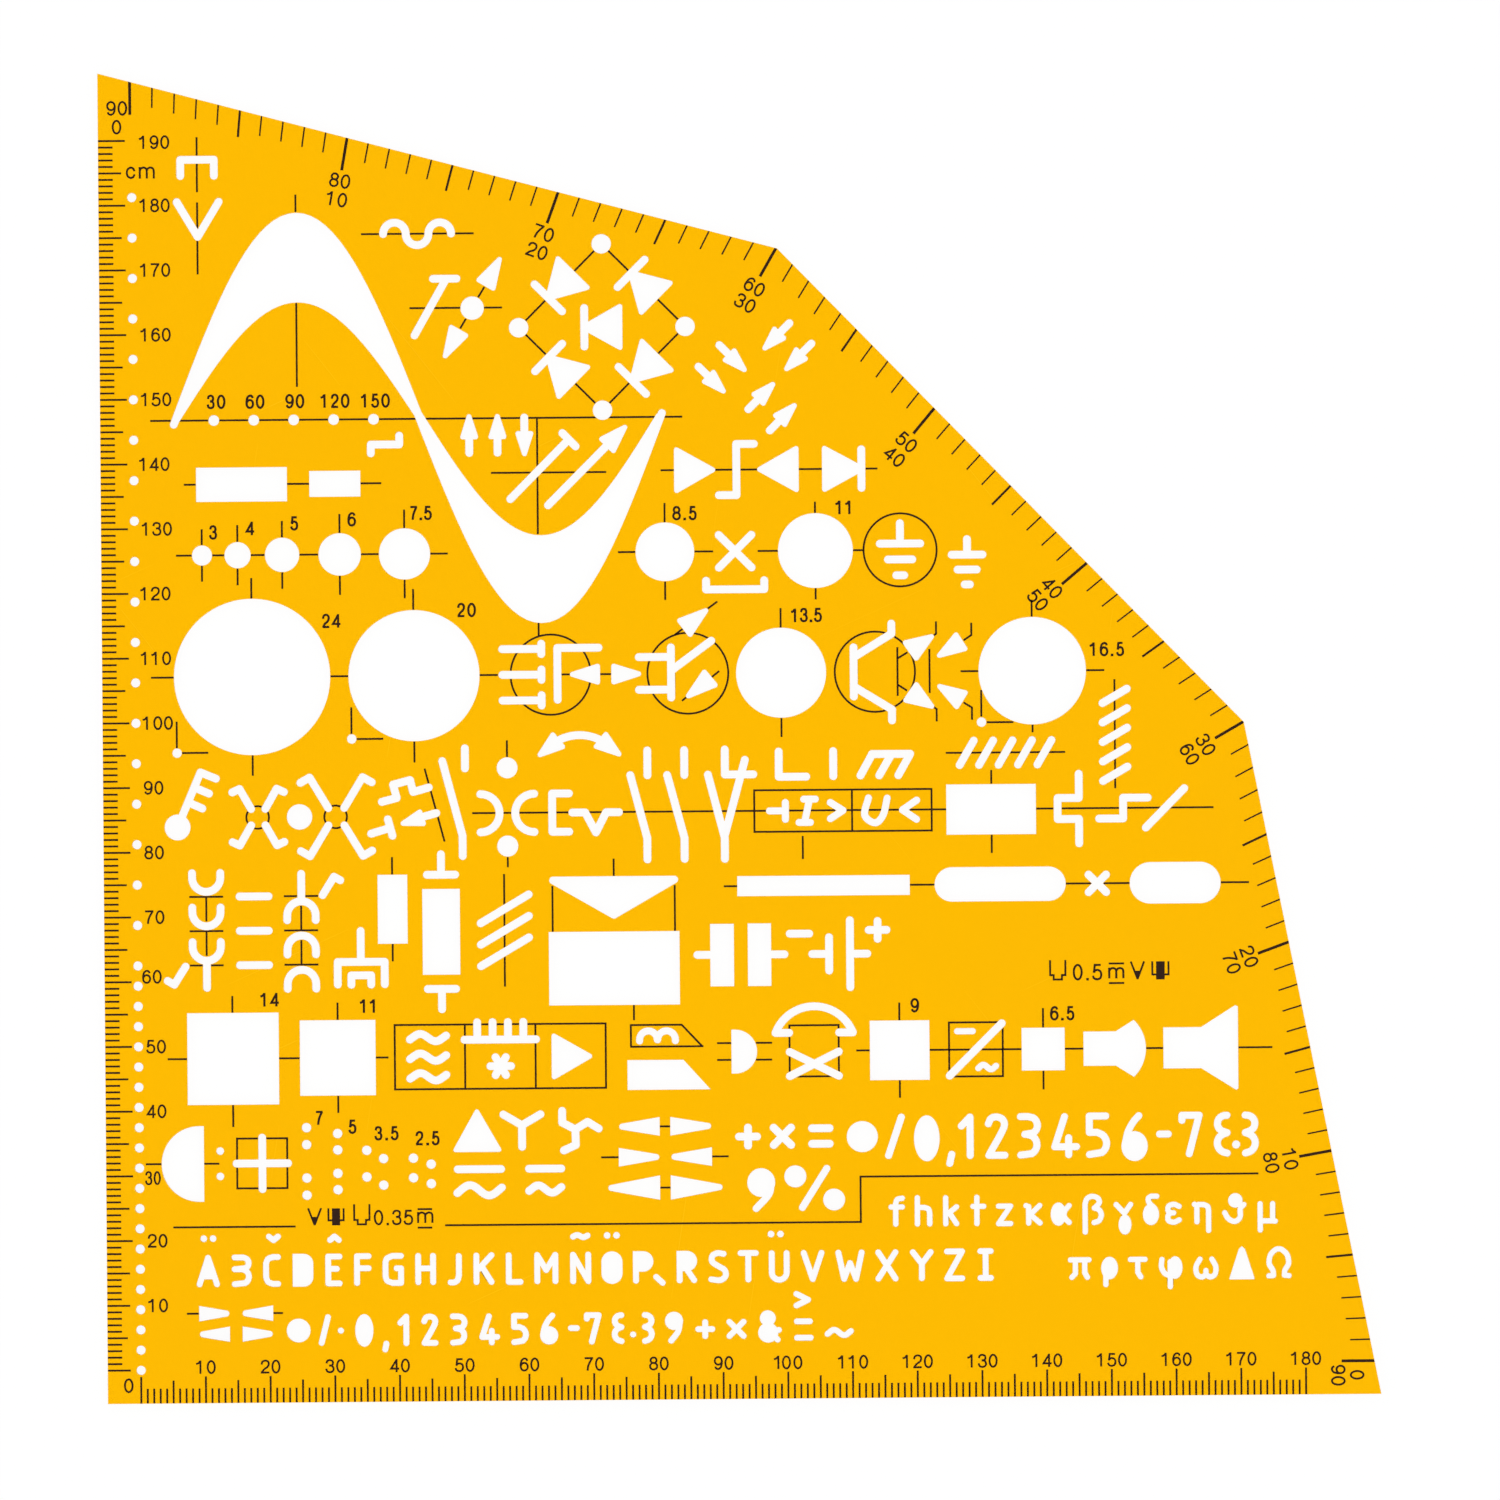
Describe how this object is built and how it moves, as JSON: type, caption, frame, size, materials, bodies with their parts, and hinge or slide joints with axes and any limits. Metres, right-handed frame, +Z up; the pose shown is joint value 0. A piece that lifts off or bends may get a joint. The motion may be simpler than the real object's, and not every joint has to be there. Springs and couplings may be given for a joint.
{
  "type": "electrical symbol template",
  "caption": "Flat see-through drawing template with electrical symbol cut-outs, stencil letters, millimetre scales along two edges and an angle scale along three.",
  "frame": {"origin": "middle of the underside's box", "axes": "+Z up through the printed top face, +Y along the 190 mm scale, +X along the 180 mm scale"},
  "size_m": [0.1968, 0.2056, 0.0013],
  "materials": {
    "plastic": "polished",
    "ink": "matt"
  },
  "bodies": {
    "root": {"template_sheet": "plastic", "bottom_scale": "ink", "left_scale": "ink", "lower_angle_scale": "ink", "middle_angle_scale": "ink", "upper_angle_scale": "ink", "aerial_line": "ink", "sine_height_line": "ink", "sine_base_line": "ink", "sine_base_line_2": "ink", "sine_base_line_3": "ink", "sine_base_line_4": "ink", "sine_depth_line": "ink", "sine_depth_line_2": "ink", "bridge_line": "ink", "bridge_line_2": "ink", "bridge_line_3": "ink", "bridge_line_4": "ink", "bridge_line_5": "ink", "bridge_line_6": "ink", "bridge_line_7": "ink", "bridge_line_8": "ink", "trigger_line": "ink", "trigger_line_2": "ink", "earth_ring": "ink", "mosfet_ring": "ink", "mosfet_ring_2": "ink", "transistor_ring": "ink", "transistor_ring_2": "ink", "phototransistor_ring": "ink", "phototransistor_ring_2": "ink", "phototransistor_ring_3": "ink", "lens_line": "ink", "relay_frame": "ink", "signal_line": "ink", "signal_line_2": "ink", "signal_line_3": "ink", "signal_line_4": "ink", "signal_line_5": "ink", "motor_line": "ink", "motor_line_2": "ink", "phase_line": "ink", "phase_line_2": "ink", "cross_frame": "ink", "cross_frame_2": "ink", "cross_frame_3": "ink", "cross_frame_4": "ink", "filter_frame": "ink", "telephone_frame": "ink", "telephone_frame_2": "ink", "rectifier_frame": "ink", "rectifier_frame_2": "ink", "horn_line": "ink", "horn_line_2": "ink", "horn_line_3": "ink", "top_text_line": "ink", "greek_border": "ink"}
  },
  "joints": []
}
